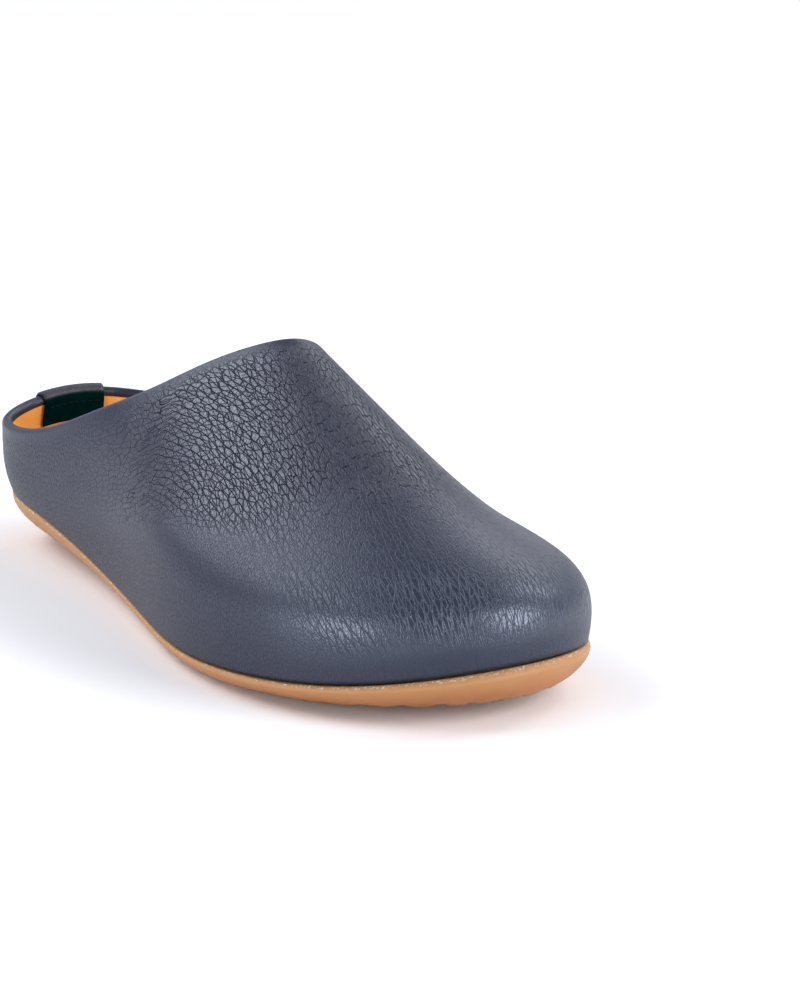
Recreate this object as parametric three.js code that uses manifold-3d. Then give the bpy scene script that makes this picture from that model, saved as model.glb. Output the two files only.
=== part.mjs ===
// Slip-on leather clog, right shoe: a whole-cut leather upper, lasted under an insole board and cemented to a
// moulded gum cupsole. Millimetres, +Z up, toe towards -Y, medial (big toe) side towards +X.
import * as THREE from 'three';
import Module from 'manifold-3d';
import { mergeVertices } from 'three/addons/utils/BufferGeometryUtils.js';

const wasm = await Module();
wasm.setup();

// ---------------------------------------------------------------- driving dimensions
// Stations round the shoe: back of the heel, forward along the lateral side, round the toe and back.
// Points are [x, s, z], where s is the distance forward of the heel. feather: where the upper meets the sole.
// topline: edge of the foot opening. wall: [shoulder height, bulge, crown, fullness].
// sole: [lip, undercut, bottom height].
const STATIONS = {
  heelBack: { feather: [0, 0.5, 17.5], topline: [0, 0, 45.5], wall: [16, 3, 0, 3], sole: [0, 9, 2] },
  heelCornerL: { feather: [-26, 10, 17.2], topline: [-29.5, 10, 42], wall: [14, 3, 0, 3], sole: [0, 15, 1.5] },
  heelSideL: { feather: [-33, 46.5, 14.5], topline: [-38, 43.5, 45], wall: [15, 3, 0, 2], sole: [0, 16.5, 0] },
  waistL: { feather: [-39.5, 97.5, 9], topline: [-35, 78, 59], wall: [23, 3, 0, 0], sole: [0, 10, 0] },
  midfootL: { feather: [-51, 145.5, 7], topline: [-27, 101.5, 71], wall: [30, 3, 0, 0], sole: [0.5, 6, 0] },
  ballL: { feather: [-58, 193, 7.5], topline: [-16, 118.5, 82], wall: [30, 3, 0, 0], sole: [1, 8, 0] },
  toeCornerL: { feather: [-42.5, 248.5, 12.5], topline: [-4, 132, 89.5], wall: [28, 3, 0, 0], sole: [2, 9.5, 3.5] },
  toeTip: { feather: [1, 275.5, 19.5], topline: [6, 137.5, 91], wall: [24, 2.5, -1, 0], sole: [2.5, 8.5, 6] },
  toeCornerM: { feather: [41.5, 252.5, 16.5], topline: [14.5, 134, 87.5], wall: [22, 2, -7, 0], sole: [1, 9, 3.5] },
  ballM: { feather: [51, 204, 11.5], topline: [22.5, 120, 81.5], wall: [25.5, 2.5, -6, 0], sole: [1, 7, 0] },
  midfootM: { feather: [40, 155, 11.5], topline: [29, 102, 72], wall: [28.5, 3, -2.5, 0], sole: [0.5, 8, 0] },
  waistM: { feather: [31, 103, 13], topline: [32.5, 80, 60], wall: [23, 3, 0, 0], sole: [0, 11, 0] },
  heelSideM: { feather: [32, 49, 16], topline: [35.5, 47, 47], wall: [15, 3, 0, 2], sole: [0, 13, 0] },
  heelCornerM: { feather: [26, 11, 17], topline: [27, 11.5, 43.5], wall: [14.5, 3, 0, 3], sole: [0, 13, 1] },
};

// How the eight control points of a wall profile lie between the feather line (first) and the topline (last).
const PLAN_SHARE = [0, 0, 0.02, 0.1, 0.28, 0.5, 0.75, 1];
const BULGE_SHARE = [0, 0.65, 1, 0.7, 0.25, 0.05, 0, 0];
const SHOULDER_SHARE = [0, 0.35, 0.78, 1.1, 1.1, 1.1, 1.1, 1.1];
const RISE_SHARE = [0, 0, 0, 0, 0.2, 0.47, 0.75, 1];
const CROWN_SHARE = [0, 0, 0, 0, 0.7, 1, 0.6, 0];
const FULLNESS_SHARE = [0, 0, 0, 0.25, 0.55, 0.5, 0.28, 0];

const HEEL_TO_ORIGIN = 136.9;
const MIDLINE_TO_ORIGIN = 3.55;
const LINES = 48;
const ACROSS = 6;
const GAP = 0.3;
const SEAT_GAP = 0.45;

// Upper. Depths below its outer face, each [outer, inner]; TAPE is measured down from the topline.
const LEATHER = [0, 1.6];
const STIFFENER = [2.05, 2.8];
const LINING = [3.2, 4];
const TAPE = [2.5, 6.2];
const TAPE_CLEARANCE = 0.8;

// The leather turned in over the topline: pairs of [arc past the topline, depth] on its outer and inner face.
const RIM_INNER = 4.2;
const RIM_TURN = 3.4;
const RIM = [
  [[-0.5, 0.4], [-1.9, 1.9]],
  [[0, 1.3], [-1.9, 2.3]],
  [[0, 2.6], [-1.9, 2.7]],
  [[-0.5, 3.7], [-2.1, 2.9]],
  [[-1.4, RIM_INNER], [-2.4, 3.1]],
  [[-RIM_TURN, RIM_INNER], [-RIM_TURN, 3.1]],
];

// Arc lengths up the wall, from the lowest that all layers share to just under the tape.
const LOW_ARC = 4.2;
const ARC_SHARES = [0, 0.06, 0.12, 0.2, 0.32, 0.46, 0.62, 0.8, 1];
const PUFF_ARCS = 5;

// Lines that the stiffeners and the lining seam lie on, counted from the back of the heel.
const COUNTER_LINES = [-9, 9];
const PUFF_LINES = [18, 30];
const SEAM_LINE = 12;
const SEAM_GAP = 0.03;

// The edges lasted under: [outward from the feather line of the lower face, of the upper face].
const MARGIN = 13;
const LEATHER_BEND = [-0.6, -2.2];
const LINING_MARGIN = 10;
const LINING_BEND = [-4.3, -5.6];
const LINING_UNDER = [2.1, 3.1];

// Insole. Heights above the feather line, each [bottom, top].
const BOARD = [3.5, 5.1];
const BOARD_INSET = 6.2;
const FOOTBED = { height: [5.5, 9.5], arcs: [6.5, 9.5], depth: 5.1 };
const SOCK = { height: [9.9, 10.9], arc: 10.5, depth: 4.9 };
const FILLER = { height: [0.1, 3.1], inset: MARGIN + 0.5 };
const HEEL_CUP = { depth: 4, s: 37, halfWidth: 18, halfLength: 22 };
const HEEL_PAD = { x: 0, s: 39, halfWidth: 17, halfLength: 24 };
const ARCH_PAD = { x: 9, s: 112, halfWidth: 11, halfLength: 32 };
const PAD_HEIGHT = [6.2, 7.7];
const POCKET_DROP = 1.2;
const RING_STEPS = 24;

// Sole
const SOLE_WALL = 3;
const SOLE_FLOOR = 3.5;
const WALL_SHARES = [0, 0.06, 0.15, 0.35, 0.6, 0.82, 1];
const LIP_SHARE = 0.15;
const MIDSOLE_SPLIT = 96;
const MIDSOLE_CLEARANCE = 0.8;
const SHANK = { width: 13, from: 48, to: 136, height: [1, 2.2], clearance: [0.6, 1], endBlunt: 1.6 };
const TREAD = { pitch: 12, width: 3, depth: 1.4, heel: [22, 84], forefoot: [140, 262], halfLength: 80 };

// Heel tab. Its legs are given as arcs past the topline; places round the heel are in lines.
const TAB = {
  places: [-1.5, -1, 0, 1, 1.5],
  thickness: 1.2,
  clearance: GAP + 0.1,
  rise: GAP + 0.2,
  outerLeg: [-15, -12, -9, -6.5, -4, -1.6],
  innerLeg: [-2.2, -5, -7.5, -10],
};
const STITCH = { place: 1.28, halfWidth: 0.05, thickness: 0.7, arcs: [-13.5, -12, -9, -6.5, -4, -2.5] };

const PAINT = {
  navyLeather: { color: '#454f60', roughness: 0.5, metalness: 0 },
  tanLining: { color: '#dd9e5b', roughness: 0.7, metalness: 0 },
  gumRubber: { color: '#c08a55', roughness: 0.6, metalness: 0 },
  foam: { color: '#d8d3c6', roughness: 0.9, metalness: 0 },
  board: { color: '#b79a6e', roughness: 0.9, metalness: 0 },
  stiffener: { color: '#e6e0d0', roughness: 0.85, metalness: 0 },
  cork: { color: '#a87f52', roughness: 0.95, metalness: 0 },
  steel: { color: '#9a9da0', roughness: 0.35, metalness: 1 },
  tabInner: { color: '#123036', roughness: 0.6, metalness: 0 },
  thread: { color: '#1d2836', roughness: 0.8, metalness: 0 },
};

// ---------------------------------------------------------------- the outer surface of the upper
const stations = Object.values(STATIONS);
const COUNT = stations.length;
const wrap = (i, n) => ((i % n) + n) % n;
const mix = (a, b, t) => a + (b - a) * t;

function weights(f) {
  const g = 1 - f;
  return [g ** 3 / 6, (3 * f ** 3 - 6 * f * f + 4) / 6, (-3 * f ** 3 + 3 * f * f + 3 * f + 1) / 6, f ** 3 / 6];
}

// Control values of the closed cubic B-spline that passes through the given station values.
function closedControls(values) {
  let controls = values.slice();
  for (let pass = 0; pass < 60; pass += 1) {
    controls = values.map((v, i) => {
      return (6 * v - controls[wrap(i - 1, COUNT)] - controls[wrap(i + 1, COUNT)]) / 4;
    });
  }
  return controls;
}

function closedSpline(values) {
  const controls = closedControls(values);
  return (u) => {
    const i = Math.floor(u);
    return weights(u - i).reduce((sum, w, k) => sum + w * controls[wrap(i - 1 + k, COUNT)], 0);
  };
}

function splinePoint(points) {
  const axes = [0, 1, 2].map((axis) => closedSpline(points.map((p) => p[axis])));
  return (u) => axes.map((axis) => axis(u));
}

function stationOutward(i) {
  const before = stations[wrap(i - 1, COUNT)].feather;
  const after = stations[wrap(i + 1, COUNT)].feather;
  const along = new THREE.Vector2(after[0] - before[0], after[1] - before[1]).normalize();
  return [-along.y, along.x];
}

function profilePoint(i, j) {
  const { feather, topline, wall: [shoulder, bulge, crown, fullness] } = stations[i];
  const out = stationOutward(i);
  const swell = bulge * BULGE_SHARE[j] + fullness * FULLNESS_SHARE[j];
  const edge = feather[2] + SHOULDER_SHARE[3] * shoulder;
  return [
    mix(feather[0], topline[0], PLAN_SHARE[j]) + out[0] * swell,
    mix(feather[1], topline[1], PLAN_SHARE[j]) + out[1] * swell,
    feather[2] + SHOULDER_SHARE[j] * shoulder + RISE_SHARE[j] * (topline[2] - edge) + CROWN_SHARE[j] * crown,
  ];
}

const columns = PLAN_SHARE.map((_, j) => splinePoint(stations.map((_station, i) => profilePoint(i, j))));

// World point of the outer face at u (station number round the shoe) and v (0 feather line, 1 topline).
function outerFace(u, v) {
  const row = columns.map((column) => column(u));
  const last = row.length - 1;
  const before = row[0].map((c, axis) => 2 * c - row[1][axis]);
  const after = row[last].map((c, axis) => 2 * c - row[last - 1][axis]);
  const points = [before, ...row, after];
  const t = Math.min(Math.max(v, 0), 1) * last;
  const i = Math.min(Math.floor(t), last - 1);
  const [x, s, z] = [0, 1, 2].map((axis) => {
    return weights(t - i).reduce((sum, w, k) => sum + w * points[i + k][axis], 0);
  });
  return toWorld(x, s, z);
}

function toWorld(x, s, z) {
  return new THREE.Vector3(x + MIDLINE_TO_ORIGIN, HEEL_TO_ORIGIN - s, z);
}

function outerNormal(u, v) {
  const step = 0.002;
  const round = outerFace(u + step, v).sub(outerFace(u - step, v));
  const up = outerFace(u, Math.min(v + step, 1)).sub(outerFace(u, Math.max(v - step, 0)));
  return round.cross(up).normalize();
}

// One wall profile per line: arc length against v, so that places can be given in mm from either edge.
const lines = Array.from({ length: LINES }, (_, k) => makeLine((k * COUNT) / LINES));

function makeLine(u) {
  const steps = 60;
  const arcs = [0];
  let last = outerFace(u, 0);
  for (let i = 1; i <= steps; i += 1) {
    const here = outerFace(u, i / steps);
    arcs.push(arcs[i - 1] + here.distanceTo(last));
    last = here;
  }
  return { u, arcs, length: arcs[steps] };
}

function vAtArc(line, arc) {
  const i = line.arcs.findIndex((a) => a >= arc);
  if (i < 0) return 1;
  if (i === 0) return 0;
  const share = (arc - line.arcs[i - 1]) / (line.arcs[i] - line.arcs[i - 1]);
  return (i - 1 + share) / (line.arcs.length - 1);
}

// Point at an arc length above the feather line and a depth under the outer face.
// Past the topline the surface is carried straight on.
function wallPoint(line, arc, depth) {
  const v = vAtArc(line, arc);
  const point = outerFace(line.u, v).addScaledVector(outerNormal(line.u, v), -depth);
  const over = arc - line.length;
  if (over > 0) {
    const up = outerFace(line.u, 1).sub(outerFace(line.u, 0.98)).normalize();
    point.addScaledVector(up, over);
  }
  return point;
}

// ---------------------------------------------------------------- the feather line and what lies inside it
const featherPoint = splinePoint(stations.map((station) => station.feather));
const soleLip = closedSpline(stations.map((station) => station.sole[0]));
const soleUndercut = closedSpline(stations.map((station) => station.sole[1]));
const soleBottom = closedSpline(stations.map((station) => station.sole[2]));

function featherOutward(u) {
  const [ax, as] = featherPoint(u - 0.01);
  const [bx, bs] = featherPoint(u + 0.01);
  const along = new THREE.Vector2(bx - ax, bs - as).normalize();
  return [-along.y, along.x];
}

// Plan point [x, s] on a line, moved outward from the feather line.
function besideFeather(line, outward) {
  const [x, s] = featherPoint(line.u);
  const out = featherOutward(line.u);
  return [x + out[0] * outward, s + out[1] * outward];
}

const featherSides = [-1, 1].map((side) => {
  const half = lines.filter((_, k) => (side < 0 ? k <= LINES / 2 : k === 0 || k >= LINES / 2));
  return half.map((line) => featherPoint(line.u)).sort((a, b) => a[1] - b[1]);
});

function sideAt(side, s) {
  const i = side.findIndex((p) => p[1] >= s);
  if (i <= 0) return i < 0 ? side[side.length - 1] : side[0];
  const t = (s - side[i - 1][1]) / (side[i][1] - side[i - 1][1]);
  return [mix(side[i - 1][0], side[i][0], t), s, mix(side[i - 1][2], side[i][2], t)];
}

// Height of the surface that spans the feather line, with the heel cup pressed into it.
function spanHeight(x, s) {
  const [left, right] = featherSides.map((side) => sideAt(side, s));
  const width = Math.max(right[0] - left[0], 1);
  const flat = mix(left[2], right[2], Math.min(Math.max((x - left[0]) / width, 0), 1));
  const reach = (x / HEEL_CUP.halfWidth) ** 2 + ((s - HEEL_CUP.s) / HEEL_CUP.halfLength) ** 2;
  return flat - HEEL_CUP.depth * Math.max(0, 1 - reach);
}

function spanPoint([x, s], above) {
  return toWorld(x, s, spanHeight(x, s) + above);
}

// Plan ring [x, s] that keeps a depth inside the wall at an arc length above the feather line.
function ringInWall(arc, depth) {
  return lines.map((line) => {
    const p = wallPoint(line, arc, depth);
    return [p.x - MIDLINE_TO_ORIGIN, HEEL_TO_ORIGIN - p.y];
  });
}

const ringAt = (outward) => lines.map((line) => besideFeather(line, outward));

// ---------------------------------------------------------------- solids
function solidGeometry(positions, triangles) {
  const geometry = new THREE.BufferGeometry();
  geometry.setAttribute('position', new THREE.Float32BufferAttribute(positions.flatMap((p) => p.toArray()), 3));
  geometry.setIndex(triangles.flat());
  const merged = mergeVertices(geometry, 1e-4);
  const index = [...merged.index.array];
  const kept = [];
  for (let i = 0; i < index.length; i += 3) {
    const [a, b, c] = index.slice(i, i + 3);
    if (a !== b && b !== c && c !== a) kept.push(a, b, c);
  }
  merged.setIndex(signedVolume(merged, kept) < 0 ? kept.reverse() : kept);
  return merged;
}

function signedVolume(geometry, index) {
  const at = (i) => new THREE.Vector3().fromBufferAttribute(geometry.attributes.position, i);
  let volume = 0;
  for (let i = 0; i < index.length; i += 3) {
    volume += at(index[i]).dot(at(index[i + 1]).cross(at(index[i + 2])));
  }
  return volume;
}

// Solid swept round the shoe: one section per line, each a list of [point on face one, point on face two].
function bandSolid(sections, closed) {
  const size = sections[0].length * 2;
  const loops = sections.map((pairs) => [...pairs.map((p) => p[0]), ...pairs.map((p) => p[1]).reverse()]);
  const triangles = [];
  const quad = (a, b, c, d) => triangles.push([a, b, c], [a, c, d]);
  for (let k = 0; k < loops.length - (closed ? 0 : 1); k += 1) {
    const here = k * size;
    const next = ((k + 1) % loops.length) * size;
    for (let i = 0; i < size; i += 1) {
      const j = (i + 1) % size;
      quad(here + i, here + j, next + j, next + i);
    }
  }
  if (!closed) {
    const last = (loops.length - 1) * size;
    for (let i = 0; i < size / 2 - 1; i += 1) {
      const [a, b, c, d] = [i, i + 1, size - 2 - i, size - 1 - i];
      quad(d, c, b, a);
      quad(last + a, last + b, last + c, last + d);
    }
  }
  return solidGeometry(loops.flat(), triangles);
}

// Ladder of points inside a closed ring: rows run across the shoe, from the heel line to the toe line.
function ladder(ring, height) {
  const rows = ring.length / 2;
  return Array.from({ length: rows + 1 }, (_, k) => {
    const left = ring[k];
    const right = ring[wrap(-k, ring.length)];
    return Array.from({ length: ACROSS + 1 }, (_point, a) => {
      const x = mix(left[0], right[0], a / ACROSS);
      const s = mix(left[1], right[1], a / ACROSS);
      return toWorld(x, s, height(x, s, k, a / ACROSS));
    });
  });
}

function ladderTriangles(rows) {
  const triangles = [];
  for (let k = 0; k < rows.length - 1; k += 1) {
    for (let a = 0; a < ACROSS; a += 1) {
      const [p, q, r, s] = [rows[k][a], rows[k + 1][a], rows[k + 1][a + 1], rows[k][a + 1]];
      triangles.push([p, q, r], [p, r, s]);
    }
  }
  return triangles;
}

// Strip between two rings of points, the first above or outside the second.
function stripTriangles(first, second) {
  return first.flatMap((p, k) => {
    const n = (k + 1) % first.length;
    return [[p, second[k], second[n]], [p, second[n], first[n]]];
  });
}

const flipped = (triangles) => triangles.map(([a, b, c]) => [c, b, a]);
const lifted = (ring, height) => ring.map(([x, s]) => toWorld(x, s, height(x, s)));

function closedSolid(triangles) {
  return solidGeometry(triangles.flat(), triangles.map((_, i) => [3 * i, 3 * i + 1, 3 * i + 2]));
}

// Face that spans a ring. Every face has the same facets inside the lasting margin, so stacked faces stay parallel.
function spanFace(ring, above) {
  const height = (x, s) => spanHeight(x, s) + above;
  const inner = ringAt(-MARGIN - 1);
  return [...ladderTriangles(ladder(inner, height)), ...stripTriangles(lifted(inner, height), lifted(ring, height))];
}

function plainFace(ring, height) {
  return ladderTriangles(ladder(ring, height));
}

// Solid from a lower face to an upper one, each given as its ring of points and its triangles.
function stackSolid(lowRing, lowFace, highRing, highFace) {
  return closedSolid([...highFace, ...stripTriangles(highRing, lowRing), ...flipped(lowFace)]);
}

function spanPlate(lowRing, highRing, [low, high]) {
  const rings = [[lowRing, low], [highRing, high]].map(([ring, above]) => {
    return [ring.map(([x, s]) => spanPoint([x, s], above)), spanFace(ring, above)];
  });
  return stackSolid(...rings[0], ...rings[1]);
}

// Small plate with facets of its own, for pads and strips that lie well inside the margin.
function insertPlate(ring, [low, high]) {
  const faces = [low, high].map((above) => [
    ring.map((p) => spanPoint(p, above)),
    plainFace(ring, (x, s) => spanHeight(x, s) + above),
  ]);
  return stackSolid(...faces[0], ...faces[1]);
}

function toManifold(geometry) {
  const clean = geometry.clone();
  clean.deleteAttribute('normal');
  clean.deleteAttribute('uv');
  const merged = mergeVertices(clean, 1e-4);
  return new wasm.Manifold(new wasm.Mesh({
    numProp: 3,
    vertProperties: new Float32Array(merged.attributes.position.array),
    triVerts: new Uint32Array(merged.index.array),
  }));
}

function toGeometry(manifold) {
  const mesh = manifold.getMesh();
  const geometry = new THREE.BufferGeometry();
  geometry.setAttribute('position', new THREE.BufferAttribute(new Float32Array(mesh.vertProperties), 3));
  geometry.setIndex(new THREE.BufferAttribute(new Uint32Array(mesh.triVerts), 1));
  return geometry;
}

// Box given by its ranges in shoe coordinates: x, s (forward of the heel) and z.
function boxBlock([x0, x1], [s0, s1], [z0, z1]) {
  const box = new THREE.BoxGeometry(x1 - x0, s1 - s0, z1 - z0);
  const centre = toWorld((x0 + x1) / 2, (s0 + s1) / 2, (z0 + z1) / 2);
  box.translate(centre.x, centre.y, centre.z);
  return toManifold(box);
}

// ---------------------------------------------------------------- upper
// Arc lengths that every layer shares, so that their facets stay parallel.
function wallArcs(line) {
  return ARC_SHARES.map((share) => mix(LOW_ARC, line.length - TAPE[1] - TAPE_CLEARANCE, share));
}

function upperSection(line) {
  const top = line.length;
  const arcs = wallArcs(line);
  const outer = [0.4, ...arcs, top - 1.4].map((arc) => wallPoint(line, arc, LEATHER[0]));
  const inner = [LOW_ARC - 1, ...arcs, top - 1.9].map((arc) => wallPoint(line, arc, LEATHER[1]));
  const sides = outer.map((p, i) => [p, inner[i]]);
  const margin = [[-MARGIN, -MARGIN], LEATHER_BEND].map(([below, above]) => [
    spanPoint(besideFeather(line, below), 0),
    spanPoint(besideFeather(line, above), LEATHER[1]),
  ]);
  const rim = RIM.map((pair) => pair.map(([arc, depth]) => wallPoint(line, top + arc, depth)));
  return [...margin, ...sides, ...rim];
}

function liningSection(line) {
  const arcs = [...wallArcs(line), line.length - RIM_TURN - GAP];
  const sides = arcs.map((arc) => LINING.map((depth) => wallPoint(line, arc, depth)));
  const margin = [[-LINING_MARGIN, -LINING_MARGIN], LINING_BEND].map(([below, above]) => [
    spanPoint(besideFeather(line, below), LINING_UNDER[0]),
    spanPoint(besideFeather(line, above), LINING_UNDER[1]),
  ]);
  return [...margin, ...sides];
}

// Stiffener between two lines, from the low arc up through the given number of shared arcs.
function stiffenerBand([from, to], count) {
  return bandSolid(lineRange(from, to).map((line) => {
    return wallArcs(line).slice(0, count).map((arc) => STIFFENER.map((depth) => wallPoint(line, arc, depth)));
  }), false);
}

// Lines from one index to another, going up and wrapping past the back of the heel.
function lineRange(from, to) {
  return Array.from({ length: to - from + 1 }, (_, k) => lines[wrap(from + k, LINES)]);
}

function toplineTape() {
  const sections = lines.map((line) => {
    return TAPE.map((down) => STIFFENER.map((depth) => wallPoint(line, line.length - down, depth)));
  });
  return bandSolid(sections, true);
}

const heelCounter = () => stiffenerBand(COUNTER_LINES, ARC_SHARES.length);
const toePuff = () => stiffenerBand(PUFF_LINES, PUFF_ARCS);

const vampLining = () => bandSolid(lineRange(SEAM_LINE, LINES - SEAM_LINE).map(liningSection), false);

// The quarter lining stops short of the vamp lining, where the two are butted.
function quarterLining() {
  const seam = (SEAM_LINE * COUNT) / LINES - SEAM_GAP;
  const ends = [makeLine(COUNT - seam), makeLine(seam)];
  const run = [ends[0], ...lineRange(1 - SEAM_LINE, SEAM_LINE - 1), ends[1]];
  return bandSolid(run.map(liningSection), false);
}

// ---------------------------------------------------------------- heel tab
// Point on the tab. Places round the heel are in lines, and the facets between lines are those of the upper.
function tabPoint(place, arc, depth) {
  const index = Math.floor(place);
  const [here, next] = [lines[wrap(index, LINES)], lines[wrap(index + 1, LINES)]];
  const points = [here, next].map((line) => wallPoint(line, line.length + arc, depth));
  return points[0].lerp(points[1], place - index);
}

// The route over the rim, as [arc past the topline, depth], raised off the rim by a height.
function tabRoute(raised) {
  const outside = -TAB.clearance - raised;
  const inside = RIM_INNER + GAP + raised;
  const over = TAB.rise + raised;
  return [
    ...TAB.outerLeg.map((arc) => [arc, outside]),
    [over - 0.7, outside + 0.9],
    [over, 1.3],
    [over, 2.9],
    [over - 0.8, inside - 0.6],
    ...TAB.innerLeg.map((arc) => [arc, inside]),
  ];
}

function heelTab() {
  const faces = [tabRoute(0), tabRoute(TAB.thickness)];
  const sections = TAB.places.map((place) => {
    return faces[0].map((_point, i) => faces.map((face) => tabPoint(place, ...face[i])));
  });
  return bandSolid(sections, false);
}

// One thread per side edge of the tab, lying on its outer leg.
function tabStitch(side) {
  const low = -TAB.clearance - TAB.thickness - GAP;
  const depths = [low, low - STITCH.thickness];
  const sections = STITCH.arcs.map((arc) => [-1, 1].map((edge) => {
    return depths.map((depth) => tabPoint(side * STITCH.place + edge * STITCH.halfWidth, arc, depth));
  }));
  return bandSolid(sections, false);
}

// ---------------------------------------------------------------- footbed and insole
function insoleBoard() {
  const ring = ringAt(-BOARD_INSET);
  return spanPlate(ring, ring, BOARD);
}

function ellipseRing({ x, s, halfWidth, halfLength }, grow) {
  return Array.from({ length: RING_STEPS }, (_, k) => {
    const angle = (k / RING_STEPS) * 2 * Math.PI;
    return [x - (halfWidth + grow) * Math.sin(angle), s - (halfLength + grow) * Math.cos(angle)];
  });
}

const pad = (shape) => insertPlate(ellipseRing(shape, 0), PAD_HEIGHT);

// Space that a pad lies in: open below, with a gap round the sides and over the top.
function padPocket(shape) {
  return toManifold(insertPlate(ellipseRing(shape, GAP), [PAD_HEIGHT[0] - POCKET_DROP, PAD_HEIGHT[1] + GAP]));
}

function footbedFoam() {
  const rings = FOOTBED.arcs.map((arc) => ringInWall(arc, FOOTBED.depth));
  const body = toManifold(spanPlate(...rings, FOOTBED.height));
  return toGeometry([HEEL_PAD, ARCH_PAD].reduce((solid, shape) => solid.subtract(padPocket(shape)), body));
}

function sockLiner() {
  const ring = ringInWall(SOCK.arc, SOCK.depth);
  return spanPlate(ring, ring, SOCK.height);
}

// ---------------------------------------------------------------- sole
// Strip along the waist with rounded ends, made larger all round by a clearance.
function shankSpan(grow, [low, high]) {
  const half = RING_STEPS / 2;
  const width = SHANK.width / 2 + grow[0];
  const ring = Array.from({ length: RING_STEPS }, (_, k) => {
    const lateral = k <= half;
    const t = (lateral ? k : RING_STEPS - k) / half;
    const round = Math.sqrt(Math.sin(Math.PI * t)) || 0;
    const x = (lateral ? -width : width) * Math.min(1, round * SHANK.endBlunt);
    return [x, mix(SHANK.from - grow[1], SHANK.to + grow[1], t)];
  });
  return insertPlate(ring, [low, high]);
}

const shank = () => shankSpan([0, 0], SHANK.height);

function bottomFiller() {
  const ring = ringAt(-FILLER.inset);
  const body = toManifold(spanPlate(ring, ring, FILLER.height));
  const slot = toManifold(shankSpan(SHANK.clearance, [FILLER.height[0] - 2, FILLER.height[1] + 2]));
  return toGeometry(body.subtract(slot));
}

// Height of the underside, flat on the ground from heel to ball.
function underside(k, across) {
  const left = soleBottom(lines[k].u);
  const right = soleBottom(lines[wrap(-k, LINES)].u);
  return Math.max(0, mix(left, right, across));
}

const bottomRing = (inset) => lines.map((line) => besideFeather(line, -soleUndercut(line.u) - inset));

// The cupsole's outer body: a bowed wall from the feather line down to the undercut edge of the underside.
function cupBody() {
  const rings = WALL_SHARES.map((f) => lines.map((line) => {
    const bow = soleLip(line.u) * (1 - f ** 3) * Math.min(1, f / LIP_SHARE);
    const [x, s] = besideFeather(line, bow - soleUndercut(line.u) * f * f);
    return toWorld(x, s, mix(featherPoint(line.u)[2] - SEAT_GAP, Math.max(0, soleBottom(line.u)), f));
  }));
  const walls = rings.slice(1).flatMap((ring, i) => stripTriangles(rings[i], ring));
  const foot = bottomRing(0);
  return closedSolid([...spanFace(ringAt(0), -SEAT_GAP), ...walls, ...flipped(plainFace(foot, undersideHeight))]);
}

const undersideHeight = (_x, _s, k, across) => underside(k, across);

// The space in the cupsole that the midsole fills, or the midsole itself when shrunk by a clearance.
function cupCavity(clear) {
  const low = bottomRing(SOLE_FLOOR + clear);
  const high = ringAt(-SOLE_WALL - clear);
  const floor = (x, s, k, across) => underside(k, across) + SOLE_FLOOR + clear;
  const lowRing = low.map(([x, s], k) => toWorld(x, s, Math.max(0, soleBottom(lines[k].u)) + SOLE_FLOOR + clear));
  const highRing = high.map((p) => spanPoint(p, -SEAT_GAP));
  return stackSolid(lowRing, plainFace(low, floor), highRing, spanFace(high, -SEAT_GAP));
}

function treadGrooves() {
  const grooves = [];
  const foot = bottomRing(0);
  [TREAD.heel, TREAD.forefoot].forEach(([from, to]) => {
    for (let s = from; s < to; s += TREAD.pitch) {
      const k = foot.findIndex((p) => p[1] > s);
      const roof = underside(k, 0.5) + TREAD.depth;
      grooves.push(boxBlock([-TREAD.halfLength, TREAD.halfLength], [s, s + TREAD.width], [-5, roof]));
    }
  });
  return grooves;
}

function outsole() {
  const mouth = ringAt(-SOLE_WALL);
  const cavity = toManifold(cupCavity(0)).add(toManifold(spanPlate(mouth, mouth, [-SEAT_GAP - 0.02, 4])));
  const cup = toManifold(cupBody()).subtract(cavity);
  return toGeometry(treadGrooves().reduce((solid, groove) => solid.subtract(groove), cup));
}

function midsolePart(range) {
  const block = boxBlock([-90, 90], range, [-10, 60]);
  return toGeometry(toManifold(cupCavity(MIDSOLE_CLEARANCE)).intersect(block));
}

// ---------------------------------------------------------------- assembly
function part(name, paint, geometry) {
  geometry.computeVertexNormals();
  const mesh = new THREE.Mesh(geometry, new THREE.MeshStandardMaterial(paint));
  mesh.name = name;
  return mesh;
}

const soleUnit = new THREE.Group();
soleUnit.add(
  part('outsole', PAINT.gumRubber, outsole()),
  part('midsole_heel_wedge', PAINT.foam, midsolePart([-10, MIDSOLE_SPLIT - GAP])),
  part('midsole_forefoot', PAINT.foam, midsolePart([MIDSOLE_SPLIT, 300])),
);

const insole = new THREE.Group();
insole.add(
  part('shank', PAINT.steel, shank()),
  part('bottom_filler', PAINT.cork, bottomFiller()),
  part('insole_board', PAINT.board, insoleBoard()),
  part('footbed_foam', PAINT.foam, footbedFoam()),
  part('heel_pad', PAINT.cork, pad(HEEL_PAD)),
  part('arch_pad', PAINT.cork, pad(ARCH_PAD)),
  part('sock_liner', PAINT.tanLining, sockLiner()),
);

const upper = new THREE.Group();
upper.add(
  part('upper_leather', PAINT.navyLeather, bandSolid(lines.map(upperSection), true)),
  part('toe_puff', PAINT.stiffener, toePuff()),
  part('heel_counter', PAINT.stiffener, heelCounter()),
  part('topline_tape', PAINT.stiffener, toplineTape()),
  part('vamp_lining', PAINT.tanLining, vampLining()),
  part('quarter_lining', PAINT.tanLining, quarterLining()),
  part('heel_tab', PAINT.tabInner, heelTab()),
  part('tab_stitch_lateral', PAINT.thread, tabStitch(-1)),
  part('tab_stitch_medial', PAINT.thread, tabStitch(1)),
);

const clog = new THREE.Group();
clog.add(soleUnit, insole, upper);
export default clog;
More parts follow.
